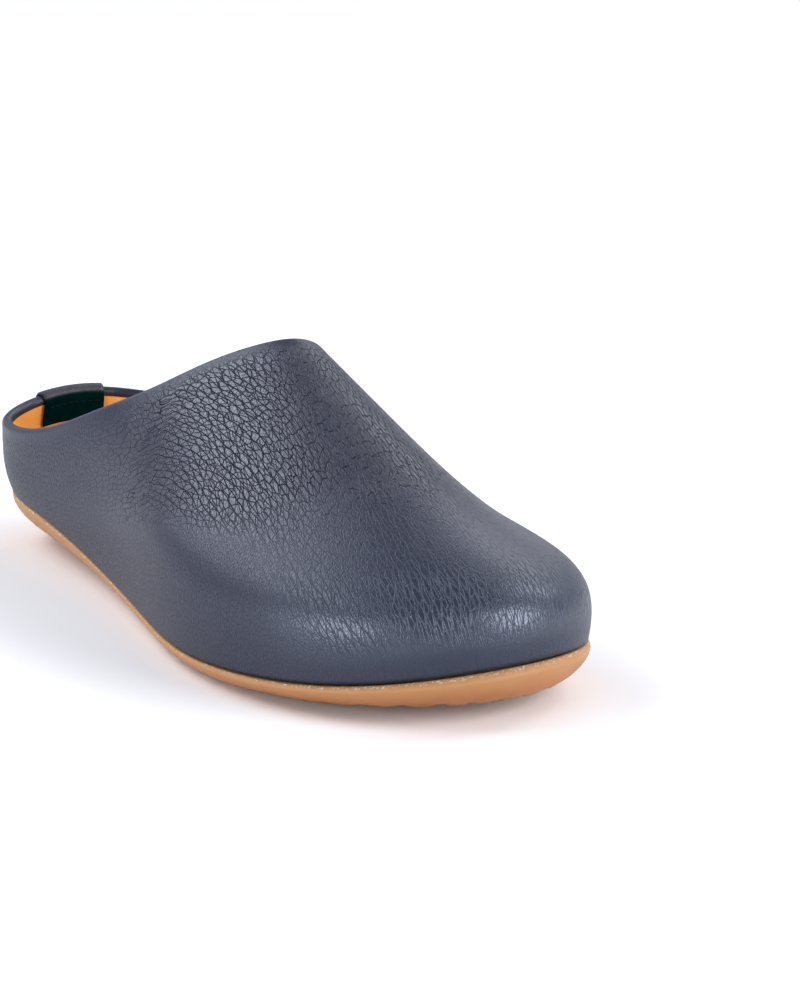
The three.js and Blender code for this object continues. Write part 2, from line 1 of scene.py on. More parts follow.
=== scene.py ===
"""Looks of a slip-on leather clog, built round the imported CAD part.

Lengths are in mm until a mesh is made.
"""

import math

import bpy
import numpy as np
from mathutils import Matrix, Vector


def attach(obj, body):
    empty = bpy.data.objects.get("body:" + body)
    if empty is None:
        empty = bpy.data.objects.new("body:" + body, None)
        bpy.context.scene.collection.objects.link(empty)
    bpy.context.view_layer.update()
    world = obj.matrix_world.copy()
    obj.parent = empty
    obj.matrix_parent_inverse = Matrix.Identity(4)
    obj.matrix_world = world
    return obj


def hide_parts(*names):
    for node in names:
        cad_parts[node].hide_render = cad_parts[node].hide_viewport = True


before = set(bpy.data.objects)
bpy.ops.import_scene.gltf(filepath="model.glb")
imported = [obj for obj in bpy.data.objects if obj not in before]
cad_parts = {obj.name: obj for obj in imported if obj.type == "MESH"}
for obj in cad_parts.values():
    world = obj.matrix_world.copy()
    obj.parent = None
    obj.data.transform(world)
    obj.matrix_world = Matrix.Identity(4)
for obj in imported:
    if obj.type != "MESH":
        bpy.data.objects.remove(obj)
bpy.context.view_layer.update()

MM = 0.001

# ---- driving dimensions, as in the CAD
# Round the shoe: back of the heel, forward along the lateral side, round the toe and back.
# Points are (x, s, z), s forward of the heel. Columns: feather line, topline,
# wall (shoulder, bulge, crown, fullness), sole (lip, undercut, bottom).
STATIONS = (
    ((0, 0.5, 17.5), (0, 0, 45.5), (16, 3, 0, 3), (0, 9, 2)),  # back of the heel
    ((-26, 10, 17.2), (-29.5, 10, 42), (14, 3, 0, 3), (0, 15, 1.5)),
    ((-33, 46.5, 14.5), (-38, 43.5, 45), (15, 3, 0, 2), (0, 16.5, 0)),
    ((-39.5, 97.5, 9), (-35, 78, 59), (23, 3, 0, 0), (0, 10, 0)),  # lateral waist
    ((-51, 145.5, 7), (-27, 101.5, 71), (30, 3, 0, 0), (0.5, 6, 0)),
    ((-58, 193, 7.5), (-16, 118.5, 82), (30, 3, 0, 0), (1, 8, 0)),  # lateral ball
    ((-42.5, 248.5, 12.5), (-4, 132, 89.5), (28, 3, 0, 0), (2, 9.5, 3.5)),
    ((1, 275.5, 19.5), (6, 137.5, 91), (24, 2.5, -1, 0), (2.5, 8.5, 6)),  # tip of the toe
    ((41.5, 252.5, 16.5), (14.5, 134, 87.5), (22, 2, -7, 0), (1, 9, 3.5)),
    ((51, 204, 11.5), (22.5, 120, 81.5), (25.5, 2.5, -6, 0), (1, 7, 0)),  # medial ball
    ((40, 155, 11.5), (29, 102, 72), (28.5, 3, -2.5, 0), (0.5, 8, 0)),
    ((31, 103, 13), (32.5, 80, 60), (23, 3, 0, 0), (0, 11, 0)),  # medial waist
    ((32, 49, 16), (35.5, 47, 47), (15, 3, 0, 2), (0, 13, 0)),
    ((26, 11, 17), (27, 11.5, 43.5), (14.5, 3, 0, 3), (0, 13, 1)),
)
COUNT = len(STATIONS)
PLAN_SHARE = (0, 0, 0.02, 0.1, 0.28, 0.5, 0.75, 1)
BULGE_SHARE = (0, 0.65, 1, 0.7, 0.25, 0.05, 0, 0)
SHOULDER_SHARE = (0, 0.35, 0.78, 1.1, 1.1, 1.1, 1.1, 1.1)
RISE_SHARE = (0, 0, 0, 0, 0.2, 0.47, 0.75, 1)
CROWN_SHARE = (0, 0, 0, 0, 0.7, 1, 0.6, 0)
FULLNESS_SHARE = (0, 0, 0, 0.25, 0.55, 0.5, 0.28, 0)
MIDLINE_TO_ORIGIN = 3.55
HEEL_TO_ORIGIN = 136.9

LINES = 480  # profile lines round the shoe in the meshes
LEATHER = 1.6
RIM_DEPTH = 3.5  # how deep the turned edge reaches under the outer face
RIM_RADIUS = RIM_DEPTH / 2
RIM_TURN = 2.4  # how far the turned edge comes down inside
LINING = (2.5, 3.3)  # depths of the lining's two faces under the outer face
LINING_FOOT = 6.0  # arc at which the lining ends, under the edge of the sock liner
MARGIN = 13  # how far the leather turns in under the footbed
SOCK = {"top": 10.9, "under": 1.2, "dish": 1.6}
SEAM_STATION = 3.5
SEAM_GAP = 0.01
HEEL_CUP = {"depth": 4, "s": 37, "half_width": 18, "half_length": 22}
SOLE_SEAT = 0.45  # how far the sole's top edge lies under the feather line
SOLE_WALL = 3
SOLE_FLOOR = 3.5
SOLE_EDGE = 0.9  # how far the lower edge of the sole is rounded in
TREAD = {"pitch": 12, "width": 3, "depth": 1.4, "heel": (22, 84), "forefoot": (140, 262)}
LUGS = {"centre": (0, 212), "pitch": 0.19, "uneven": 0.3, "depth": 0.6, "reach": (28, 40)}
TAB = {"half_width": 11.8, "thickness": 1.05, "outer_leg": 15, "inner_leg": 11, "clearance": 0.12}
STITCH = {"length": 1.9, "radius": 0.24, "rings": 9, "sides": 8, "pitch": 2.5, "inset": 1.9}
STITCH_ROWS = {"first": 1.8, "last": 14, "foot": 1.5, "inner": 7.6}  # from the ends of the strip
COLUMNS = {"sock": 41, "underside": 57, "cup_floor": 9}  # points across the shoe in the meshes

CAMERA = {  # degrees and mm
    "azimuth": -31.5,
    "elevation": 14.8,
    "roll": 0.76,
    "distance": 2443.7,
    "lens": 280.7,
    "sensor": 36,
    "aim_s": 140,
    "shift": (36.2, 0, 40),
}


# ---- the outer face of the upper
def spline_weights(f):
    g = 1 - f
    return np.stack([g**3, 3 * f**3 - 6 * f * f + 4, -3 * f**3 + 3 * f * f + 3 * f + 1, f**3]) / 6


def closed_spline(values, u):
    """The closed cubic B-spline through the station values, at each u."""
    ring = np.eye(COUNT)
    weights = (4 * ring + np.roll(ring, 1, 0) + np.roll(ring, -1, 0)) / 6
    controls = np.linalg.solve(weights, np.asarray(values, float))
    i = np.floor(u).astype(int)
    w = spline_weights(u - i)
    return sum(w[k][:, None] * controls[(i - 1 + k) % COUNT] for k in range(4))


def station_net():
    """Control point of every station and profile column, shape (stations, columns, 3)."""
    feather, topline, wall = (np.array([row[c] for row in STATIONS], float) for c in range(3))
    along = np.roll(feather, -1, 0) - np.roll(feather, 1, 0)
    out = np.stack([-along[:, 1], along[:, 0]], 1) / np.hypot(along[:, 0], along[:, 1])[:, None]
    net = np.zeros((COUNT, len(PLAN_SHARE), 3))
    edge = feather[:, 2] + SHOULDER_SHARE[3] * wall[:, 0]
    for j in range(len(PLAN_SHARE)):
        net[:, j, :2] = feather[:, :2] + (topline - feather)[:, :2] * PLAN_SHARE[j]
        net[:, j, :2] += out * (wall[:, 1] * BULGE_SHARE[j] + wall[:, 3] * FULLNESS_SHARE[j])[:, None]
        net[:, j, 2] = feather[:, 2] + SHOULDER_SHARE[j] * wall[:, 0]
        net[:, j, 2] += RISE_SHARE[j] * (topline[:, 2] - edge) + CROWN_SHARE[j] * wall[:, 2]
    return net


def to_row_frame(points):
    world = np.array(points, float)
    world[..., 0] += MIDLINE_TO_ORIGIN
    world[..., 1] = HEEL_TO_ORIGIN - world[..., 1]
    return world


def profile_columns(u):
    """Profile columns at each u, with the ghost column beyond each end."""
    net = station_net()
    rows = np.stack([closed_spline(net[:, j], u) for j in range(net.shape[1])], 1)
    first = 2 * rows[:, :1] - rows[:, 1:2]
    last = 2 * rows[:, -1:] - rows[:, -2:-1]
    return np.concatenate([first, rows, last], 1)


def unit(vectors):
    return vectors / np.maximum(np.linalg.norm(vectors, axis=-1, keepdims=True), 1e-9)


class Wall:
    """The outer face as profile lines, read by arc above the feather line and depth under the face."""

    SAMPLES = 240
    STEP = 0.004  # stations to each side, for the normals

    def __init__(self, u):
        self.u = np.asarray(u, float)
        self.points = self.sample(self.u)
        around = self.sample(self.u + self.STEP) - self.sample(self.u - self.STEP)
        self.normals = unit(np.cross(around, np.gradient(self.points, axis=1)))
        lengths = np.linalg.norm(np.diff(self.points, axis=1), axis=2)
        self.arcs = np.concatenate([np.zeros((len(u), 1)), np.cumsum(lengths, 1)], 1)
        self.top = self.arcs[:, -1]

    def sample(self, u):
        rows = profile_columns(u)
        t = np.linspace(0, 1, self.SAMPLES) * (rows.shape[1] - 3)
        i = np.minimum(np.floor(t).astype(int), rows.shape[1] - 4)
        w = spline_weights(t - i)
        return to_row_frame(sum(w[k][None, :, None] * rows[:, i + k] for k in range(4)))

    def at(self, arcs, depths):
        """Points for arcs (lines, k) and depths of the same shape or one per column.

        Past the topline, points go straight on along the last stretch of the line.
        """
        depths = np.broadcast_to(depths, arcs.shape)
        points = np.empty(arcs.shape + (3,))
        for n in range(len(self.u)):
            inside = np.clip(arcs[n], 0, self.top[n])
            over = arcs[n] - inside
            up = unit(self.points[n, -1] - self.points[n, -4])
            for axis in range(3):
                face = np.interp(inside, self.arcs[n], self.points[n, :, axis])
                normal = np.interp(inside, self.arcs[n], self.normals[n, :, axis])
                points[n, :, axis] = face - normal * depths[n] + up[axis] * over
        return points


# ---- the feather line and what it spans
def feather(u):
    return closed_spline([row[0] for row in STATIONS], u)


def sole_value(column, u):
    return closed_spline([[row[3][column]] for row in STATIONS], u)[:, 0]


def feather_outward(u):
    along = feather(u + 0.01) - feather(u - 0.01)
    return unit(np.stack([-along[:, 1], along[:, 0]], 1))


def beside_feather(u, outward):
    return feather(u)[:, :2] + feather_outward(u) * np.reshape(outward, (-1, 1))


def span_height(x, s):
    """Height of the surface that spans the feather line, with the heel cup pressed into it."""
    half = np.linspace(0, COUNT / 2, 200)
    sides = [feather(half), feather(COUNT - half)]
    edges = [[np.interp(s, side[:, 1], side[:, axis]) for axis in (0, 2)] for side in sides]
    (left, left_z), (right, right_z) = edges
    across = np.clip((x - left) / np.maximum(right - left, 1), 0, 1)
    flat = left_z + (right_z - left_z) * across
    reach = (x / HEEL_CUP["half_width"]) ** 2 + ((s - HEEL_CUP["s"]) / HEEL_CUP["half_length"]) ** 2
    return flat - HEEL_CUP["depth"] * np.maximum(0, 1 - reach) ** 1.5


def lifted(plan, height):
    return to_row_frame(np.concatenate([plan, height[..., None]], -1))


def span_points(plan, above):
    return lifted(plan, span_height(plan[..., 0], plan[..., 1]) + above)


# ---- meshes
def new_object(name, data):
    made = bpy.data.objects.new(name, data)
    bpy.context.scene.collection.objects.link(made)
    return made


def new_piece(name, points, faces, material, replaces):
    """A smooth-shaded mesh object that rides the body and stands for its CAD nodes."""
    mesh = bpy.data.meshes.new(name)
    mesh.from_pydata((np.asarray(points).reshape(-1, 3) * MM).tolist(), [], faces)
    mesh.validate()
    mesh.materials.append(material)
    for polygon in mesh.polygons:
        polygon.use_smooth = True
    piece = new_object(name, mesh)
    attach(piece, "root")
    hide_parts(*replaces)
    return piece


def give_attribute(piece, name, values):
    layer = piece.data.attributes.new(name, "FLOAT", "POINT")
    layer.data.foreach_set("value", np.asarray(values, np.float32).ravel())


def grid_faces(rows, columns, wrap_rows=False, wrap_columns=False, start=0, flip=False):
    """Quads over a grid of points stored row by row."""
    faces = []
    for r in range(rows if wrap_rows else rows - 1):
        below = start + r * columns
        above = start + ((r + 1) % rows) * columns
        for c in range(columns if wrap_columns else columns - 1):
            n = (c + 1) % columns
            quad = (below + c, above + c, above + n, below + n)
            faces.append(quad[::-1] if flip else quad)
    return faces


# ---- materials
def new_material(name, base, roughness):
    material = bpy.data.materials.new(name)
    material.use_nodes = True
    shader = material.node_tree.nodes["Principled BSDF"]
    shader.inputs["Base Color"].default_value = (*base, 1)
    shader.inputs["Roughness"].default_value = roughness
    return material, material.node_tree, shader


def plug(tree, socket, value):
    """Link a socket to the input, or set the input to a plain value."""
    if isinstance(value, bpy.types.NodeSocket):
        tree.links.new(value, socket)
    else:
        socket.default_value = value


def add(tree, kind, settings=None, **inputs):
    """A node with its settings made and its inputs set or linked; inputs i0, i1... go by number."""
    node = tree.nodes.new("ShaderNode" + kind)
    for key, value in (settings or {}).items():
        setattr(node, key, value)
    for key, value in inputs.items():
        numbered = key[0] == "i" and key[1:].isdigit()
        plug(tree, node.inputs[int(key[1:]) if numbered else key.replace("_", " ")], value)
    return node


def maths(tree, operation, a, b):
    return add(tree, "Math", {"operation": operation}, i0=a, i1=b).outputs[0]


def plus(tree, a, b):
    return maths(tree, "ADD", a, b)


def minus(tree, a, b):
    return maths(tree, "SUBTRACT", a, b)


def times(tree, a, b):
    return maths(tree, "MULTIPLY", a, b)


def vector_maths(tree, operation, **inputs):
    return add(tree, "VectorMath", {"operation": operation}, **inputs).outputs[0]


def stretched(tree, vector, **inputs):
    """The vector measured in a frame that is turned and stretched by the inputs."""
    return add(tree, "Mapping", {"vector_type": "TEXTURE"}, Vector=vector, **inputs).outputs[0]


def attribute(tree, name, output="Fac"):
    return add(tree, "Attribute", {"attribute_name": name}).outputs[output]


def blend_colours(tree, factor, a, b):
    node = add(tree, "Mix", {"data_type": "RGBA"})
    for name, value in (("Factor_Float", factor), ("A_Color", a), ("B_Color", b)):
        socket = next(s for s in node.inputs if s.identifier == name)
        plug(tree, socket, (*value, 1) if isinstance(value, tuple) else value)
    return next(s for s in node.outputs if s.identifier == "Result_Color")


def ramp(tree, value, low, high):
    """0 below low and 1 above high, with a smooth step between."""
    step = {"interpolation_type": "SMOOTHSTEP"}
    node = add(tree, "MapRange", step, Value=value, From_Min=low, From_Max=high)
    return node.outputs[0]


def millimetres(tree):
    coordinates = add(tree, "TexCoord").outputs["Object"]
    return vector_maths(tree, "SCALE", i0=coordinates, Scale=1 / MM)


def noise_value(tree, vector, size, detail=2.0, roughness=0.5):
    """Soft noise from 0 to 1 with blobs about size across."""
    inputs = {"Scale": 1 / size, "Detail": detail, "Roughness": roughness}
    return add(tree, "TexNoise", Vector=vector, **inputs).outputs["Fac"]


def warped(tree, vector, size, amount):
    """The vector pushed about by soft noise, so that no cell or line runs straight."""
    cloud = add(tree, "TexNoise", Vector=vector, Scale=1 / size, Detail=1.0).outputs["Color"]
    centred = vector_maths(tree, "SUBTRACT", i0=cloud, i1=(0.5, 0.5, 0.5))
    push = vector_maths(tree, "SCALE", i0=centred, Scale=2 * amount)
    return vector_maths(tree, "ADD", i0=vector, i1=push)


def cell_lines(tree, vector, size, width, stretch=(1, 1, 1), turn=(0, 0, 0), space="2D"):
    """1 on the lines between cells about size across, falling to 0 at width from them."""
    place = stretched(tree, vector, Rotation=turn, Scale=stretch)
    to_edge = {"feature": "DISTANCE_TO_EDGE", "voronoi_dimensions": space}
    cells = add(tree, "TexVoronoi", to_edge, Vector=place, Scale=1 / size)
    return minus(tree, 1.0, ramp(tree, cells.outputs["Distance"], 0.0, width / size))


def feed(tree, shader, **inputs):
    """Link values to the shader's inputs, named with _ for a space."""
    for key, value in inputs.items():
        plug(tree, shader.inputs[key.replace("_", " ")], value)


def bump(tree, shader, height, depth):
    node = add(tree, "Bump", Height=height, Distance=depth * MM, Strength=1.0)
    feed(tree, shader, Normal=node.outputs[0])


# ---- upper leather
# Crease families on the flat pattern: direction of the lines in degrees, spacing and width, strength,
# and the noise levels between which the lines of a family come in.
CREASES = (
    {"angle": 97, "spacing": 2.8, "width": 0.31, "strength": 1.0, "shown": (0.18, 0.38)},
    {"angle": 60, "spacing": 3.6, "width": 0.28, "strength": 0.9, "shown": (0.28, 0.46)},
    {"angle": -8, "spacing": 4.2, "width": 0.22, "strength": 0.35, "shown": (0.45, 0.6)},
)
CREASE_WANDER = ((24, 3.4), (2.2, 0.24))  # size and amount of each push that bends the lines
CREASE_PATCH = 7  # size of the patches in which a family comes and goes
BEND = {"from": -60, "run": 96, "rate": 0.0038}  # how the creases turn down towards the heel
GATHERS = {"half_spacing": 1.15, "width": 0.26, "sway": 5.0, "sway_size": 9}
CELLS = {"size": 2.1, "width": 0.24, "stretch": (2.0, 1, 1), "turn": (0, 0, math.radians(84))}
CELL_STRENGTH = 0.9
CELL_WARP = (5, 1.0)  # size and amount
FINE_CELLS = {"size": 1.05, "width": 0.2, "stretch": (1.7, 1, 1), "turn": (0, 0, math.radians(-8))}
FINE_WARP = (3, 0.3)
GRAIN = {"size": 0.4, "detail": 3.0, "strength": 0.2}
STREAKS = {"size": 0.8, "strength": 1.2, "stretch": (3.0, 1, 1)}
NAVY = {
    "dark": (0.004, 0.005, 0.017),
    "light": (0.006, 0.007, 0.021),
    "cloud": 35,  # size of the patches of the two tones
    # painted shade: near black for the bottoms of the creases and the lines between the cells
    "valley": (0.002, 0.004, 0.007),
    # painted light: paler valleys on the cap of the toe, for the light their slopes catch there
    "painted_pale_valley": (0.03, 0.042, 0.056),
    "valley_shade_share": 0.8,  # how much of the painted valley colour the bottom of a valley takes
    # painted shade: greenish black for the leather turned in under the rim
    "shaded_turned_edge": (0.001, 0.012, 0.011),
    "tint": (0.74, 0.82, 1.0, 1),
    "depth": 0.15,
    "cap_fill": 0.45,  # how much shallower the valleys are on the cap of the toe
    "roughness": 0.42,
    "pebble_polish": 0.12,
    "valley_roughness": 0.3,
    "gloss": 0.78,
    "pebble_gloss": 0.35,
    "valley_gloss": 1.15,  # how much gloss is lost at the bottom of a valley
}


def family_place(tree, place):
    """The pattern place with its lines made to wander, and bent down behind BEND["from"]."""
    for size, amount in CREASE_WANDER:
        place = warped(tree, place, size, amount)
    parts = add(tree, "SeparateXYZ", i0=place)
    behind = maths(tree, "MAXIMUM", minus(tree, parts.outputs["Y"], BEND["from"]), 0.0)
    curved = maths(tree, "MINIMUM", behind, BEND["run"])
    straight = times(tree, minus(tree, behind, curved), 2 * BEND["run"])
    turned = plus(tree, times(tree, curved, curved), straight)
    turned = minus(tree, parts.outputs["X"], times(tree, turned, BEND["rate"]))
    return place, add(tree, "CombineXYZ", X=turned, Y=parts.outputs["Y"]).outputs[0]


def crease_family(tree, place, angle, spacing, width, strength, shown):
    """Long wandering lines about spacing apart, each fading in and out along its run."""
    across = math.radians(angle + 90)
    wander, bent = family_place(tree, place)
    normal = (math.cos(across), math.sin(across), 0)
    dot = {"operation": "DOT_PRODUCT"}
    run = add(tree, "VectorMath", dot, i0=bent, i1=normal).outputs["Value"]
    near = maths(tree, "PINGPONG", run, spacing / 2)
    line = minus(tree, 1.0, ramp(tree, near, 0.0, width))
    patches = ramp(tree, noise_value(tree, wander, CREASE_PATCH), *shown)
    return times(tree, times(tree, line, patches), strength)


def gathers(tree, place):
    """Short creases square to the feather line, where the leather is drawn in round the toe."""
    sway = times(tree, noise_value(tree, place, GATHERS["sway_size"]), GATHERS["sway"])
    near = maths(tree, "PINGPONG", plus(tree, attribute(tree, "around"), sway), GATHERS["half_spacing"])
    line = minus(tree, 1.0, ramp(tree, near, 0.0, GATHERS["width"]))
    return times(tree, line, attribute(tree, "gather"))


def leather_valleys(tree, place, pebble):
    """1 at the bottom of the creases and between the cells, 0 on the plateaus."""
    folds = 0.0
    for family in CREASES:
        folds = maths(tree, "MAXIMUM", folds, crease_family(tree, place, **family))
    folds = maths(tree, "MAXIMUM", times(tree, folds, attribute(tree, "crease")), gathers(tree, place))
    cells = cell_lines(tree, warped(tree, place, *CELL_WARP), **CELLS)
    cells = times(tree, times(tree, cells, CELL_STRENGTH), pebble)
    fine = cell_lines(tree, warped(tree, place, *FINE_WARP), **FINE_CELLS)
    fine = times(tree, fine, attribute(tree, "fine"))
    return maths(tree, "MAXIMUM", folds, maths(tree, "MAXIMUM", cells, fine))


def leather_grain(tree, place, pebble):
    """Fine noise, drawn out into streaks where the leather shows no cells."""
    streaks = noise_value(tree, stretched(tree, place, Scale=STREAKS["stretch"]), STREAKS["size"])
    streaks = times(tree, streaks, minus(tree, STREAKS["strength"], pebble))
    grain = noise_value(tree, place, GRAIN["size"], GRAIN["detail"])
    return plus(tree, times(tree, grain, GRAIN["strength"]), streaks)


def navy_leather():
    """Tumbled leather: long creases over small cells and fine grain, with painted shade in the valleys.

    The mesh's attributes say where each pattern shows. On the cap of the toe, the valleys are
    shallow, and pale: painted light there in place of the painted shade.
    """
    material, tree, shader = new_material("navy_leather", NAVY["light"], NAVY["roughness"])
    place = attribute(tree, "pattern", "Vector")
    pebble, cap = attribute(tree, "pebble"), attribute(tree, "cap")
    valleys = leather_valleys(tree, place, pebble)
    sunk = times(tree, valleys, minus(tree, 1.0, times(tree, cap, NAVY["cap_fill"])))
    bump(tree, shader, minus(tree, leather_grain(tree, place, pebble), sunk), NAVY["depth"])
    tone = ramp(tree, noise_value(tree, place, NAVY["cloud"]), 0.35, 0.65)
    colour = blend_colours(tree, tone, NAVY["dark"], NAVY["light"])
    # Painted shade: the valleys are coloured near black, and on the cap of the toe pale with painted
    # light.
    bottom = blend_colours(tree, cap, NAVY["valley"], NAVY["painted_pale_valley"])
    colour = blend_colours(tree, times(tree, valleys, NAVY["valley_shade_share"]), colour, bottom)
    # Painted shade: the turned edge under the rim is coloured greenish black.
    colour = blend_colours(tree, attribute(tree, "turned"), colour, NAVY["shaded_turned_edge"])
    feed(tree, shader, Base_Color=colour)
    roughness = minus(tree, NAVY["roughness"], times(tree, pebble, NAVY["pebble_polish"]))
    roughness = plus(tree, times(tree, valleys, NAVY["valley_roughness"]), roughness)
    feed(tree, shader, Roughness=roughness)
    gloss = plus(tree, times(tree, pebble, NAVY["pebble_gloss"]), NAVY["gloss"])
    gloss = minus(tree, gloss, times(tree, sunk, NAVY["valley_gloss"]))
    feed(tree, shader, Specular_IOR_Level=maths(tree, "MAXIMUM", gloss, 0.0))
    feed(tree, shader, Specular_Tint=NAVY["tint"])
    return material


# ---- other materials
CLOUDING = (0.3, 0.7)  # noise levels between which one tone turns into the other
PORES = {"width": 0.3, "warp": (2, 0.3), "depth": 0.08, "grain": 0.5}
LINING_LOOK = {"base": (0.84, 0.41, 0.1), "dark": (0.78, 0.37, 0.088), "roughness": 0.6}
TAB_LOOK = {
    "navy": ((0.005, 0.007, 0.018), (0.008, 0.01, 0.024)),
    # painted shade: the face towards the foot is the same navy leather, coloured greenish black
    "shaded_green": ((0.0, 0.009, 0.0095), (0.0, 0.013, 0.0135)),
    "Specular_IOR_Level": (0.7, 0.01),  # outside, then on the face towards the foot
    "Roughness": (0.42, 0.82),
}
GUM = {
    "body": ((0.33, 0.125, 0.038), (0.4, 0.155, 0.048)),
    "pale": (0.37, 0.19, 0.08),
    "pale_band": (0.25, 1.0),
    "cement": (0.6, 0.56, 0.47),
    "cement_band": (0.9, 0.985),
    "cement_height": 2.0,
    "specks": {"size": 0.9, "detail": 4.0, "roughness": 0.75},
    "scuffs": {"size": 0.9, "detail": 4.0, "roughness": 0.65},
    "roughness": 0.5,
    "depth": 0.06,
}
GUM_CLARITY = {
    "Specular_IOR_Level": 0.3,
    "Subsurface_Weight": 0.22,
    "Subsurface_Radius": (0.004, 0.0022, 0.001),
    "Subsurface_Scale": 1.0,
}
THREAD = {"colour": (0.003, 0.012, 0.013), "roughness": 0.8, "specular": 0.1, "depth": 0.08}


def two_tones(tree, place, size, dark, light):
    """Two tones of a colour that drift into each other in clouds about size across."""
    cloud = ramp(tree, noise_value(tree, place, size, detail=3.0), *CLOUDING)
    return blend_colours(tree, cloud, dark, light)


def smooth_leather_bump(tree, shader, place, size, strength):
    """Fine grain with pores about size across."""
    pores = cell_lines(tree, warped(tree, place, *PORES["warp"]), size, PORES["width"], space="3D")
    grain = noise_value(tree, place, PORES["grain"], detail=3.0)
    bump(tree, shader, minus(tree, grain, times(tree, pores, strength)), PORES["depth"])


def smooth_leather(name, base, dark, roughness):
    """Lining leather: fine pores and faint clouding, no creases."""
    material, tree, shader = new_material(name, base, roughness)
    place = millimetres(tree)
    feed(tree, shader, Base_Color=two_tones(tree, place, 14, dark, base))
    smooth_leather_bump(tree, shader, place, 0.8, 0.5)
    return material


def tab_leather():
    """Navy outside and over the rim; matt on the face towards the foot, which is greenish black with
    painted shade.
    """
    material, tree, shader = new_material("tab_leather", TAB_LOOK["navy"][1], TAB_LOOK["Roughness"][0])
    place = millimetres(tree)
    inner = attribute(tree, "inner")
    navy, shaded_green = (two_tones(tree, place, 4, *TAB_LOOK[key]) for key in ("navy", "shaded_green"))
    # painted shade on the face towards the foot
    feed(tree, shader, Base_Color=blend_colours(tree, inner, navy, shaded_green))
    for key in ("Specular_IOR_Level", "Roughness"):
        outside, inside = TAB_LOOK[key]
        feed(tree, shader, **{key: plus(tree, outside, times(tree, inner, inside - outside))})
    smooth_leather_bump(tree, shader, place, 0.9, 1.0)
    return material


def gum_rubber():
    """Slightly clear moulded rubber, paler along its top edge, with bits of dried cement there."""
    material, tree, shader = new_material("gum_rubber", GUM["body"][1], GUM["roughness"])
    place = millimetres(tree)
    edge = attribute(tree, "edge")
    body = two_tones(tree, place, 18, *GUM["body"])
    pale = blend_colours(tree, ramp(tree, edge, *GUM["pale_band"]), body, GUM["pale"])
    specks = ramp(tree, noise_value(tree, place, **GUM["specks"]), 0.52, 0.6)
    bits = times(tree, specks, ramp(tree, edge, *GUM["cement_band"]))
    feed(tree, shader, Base_Color=blend_colours(tree, bits, pale, GUM["cement"]))
    feed(tree, shader, **GUM_CLARITY)
    scuffs = noise_value(tree, warped(tree, place, 6, 2), **GUM["scuffs"])
    bump(tree, shader, plus(tree, scuffs, times(tree, bits, GUM["cement_height"])), GUM["depth"])
    return material


def grainy(name, light, dark, size, roughness, metallic=0.0, depth=0.15):
    """Plain inner material: two tones mixed by noise of the given grain size."""
    material, tree, shader = new_material(name, light, roughness)
    place = millimetres(tree)
    spots = noise_value(tree, place, size, 4.0, 0.65)
    colour = blend_colours(tree, ramp(tree, spots, 0.38, 0.62), dark, light)
    feed(tree, shader, Base_Color=colour)
    feed(tree, shader, Metallic=metallic)
    bump(tree, shader, spots, depth)
    return material


def thread_material():
    material, tree, shader = new_material("thread", THREAD["colour"], THREAD["roughness"])
    feed(tree, shader, Specular_IOR_Level=THREAD["specular"])
    twist = add(tree, "TexWave", Vector=millimetres(tree), Scale=1.6, Distortion=1.0)
    bump(tree, shader, twist.outputs["Fac"], THREAD["depth"])
    return material


# ---- upper
def smoothstep(value, low, high):
    t = np.clip((value - low) / (high - low), 0, 1)
    return t * t * (3 - 2 * t)


ZONES = {  # the range over which each zone comes in
    # in stations from the heel
    "toe": (5.2, 6.4),
    "crease_sides": (3.1, 4.3),
    "pebble_sides": (2.2, 4.0),
    "gather_start": (5.4, 6.6),
    "gather_end": (9, 10),
    # in mm above the feather line, or below the topline
    "crown": (30, 42),
    "toe_foot": (5, 12),
    "gather_foot": (0.3, 1.5),
    "gather_top": (3, 7),
    "pebble_top": (2, 9),
    "fine_top": (1, 6),
    # in shares of the way from feather line to topline, or back from it
    "crown_back": (0.42, 0.55),
    "flank_foot": (0.26, 0.5),
    "cap_back": (0.3, 0.5),
    "crease_top": (0.0, 0.1),
}


class Zones:
    """Where each pattern of the leather shows, as masks over (lines, arcs above the feather line)."""

    def __init__(self, wall, arcs):
        self.arcs = arcs
        self.station = wall.u[:, None]
        self.side = np.minimum(self.station, COUNT - self.station)
        self.share = arcs / wall.top[:, None]
        self.below_top = wall.top[:, None] - arcs
        self.toe = self.zone(self.side, "toe")
        self.crown = self.toe * self.zone(arcs, "crown") * (1 - self.zone(self.share, "crown_back"))
        # plain above the feather line: a short band at the toe, higher on the flanks
        flank = (1 - self.toe) * self.zone(self.share, "flank_foot")
        self.low = self.toe * self.zone(arcs, "toe_foot") + flank

    def zone(self, value, name):
        return smoothstep(value, *ZONES[name])

    def cap(self):
        """Over the toe, where the creases are shallow, and their valleys pale with painted light."""
        return self.toe * (1 - self.zone(self.share, "cap_back"))

    def crease(self):
        """Over the vamp and the front of the toe, weak on its crown."""
        sides = self.zone(self.side, "crease_sides") * self.low
        return sides * (1 - 0.8 * self.crown) * self.zone(1 - self.share, "crease_top")

    def pebble(self):
        """The small cells: over the vamp and the toe, fading to the heel and to both edges."""
        sides = self.zone(self.side, "pebble_sides") * self.low
        return sides * (1 - 0.4 * self.crown) * self.zone(self.below_top, "pebble_top")

    def fine(self):
        """The finest cells: everywhere but on the rim, a little weaker among the pebbles."""
        return self.zone(self.below_top, "fine_top") * (0.27 - 0.02 * self.pebble())

    def gather(self):
        """A band just above the feather line, round the front of the toe."""
        toe = self.zone(self.station, "gather_start") * (1 - self.zone(self.station, "gather_end"))
        band = self.zone(self.arcs, "gather_foot") * (1 - self.zone(self.arcs, "gather_top"))
        return 0.6 * toe * band


PATTERN = {"lines": 141, "rows": 27, "rounds": 900, "damping": 5}


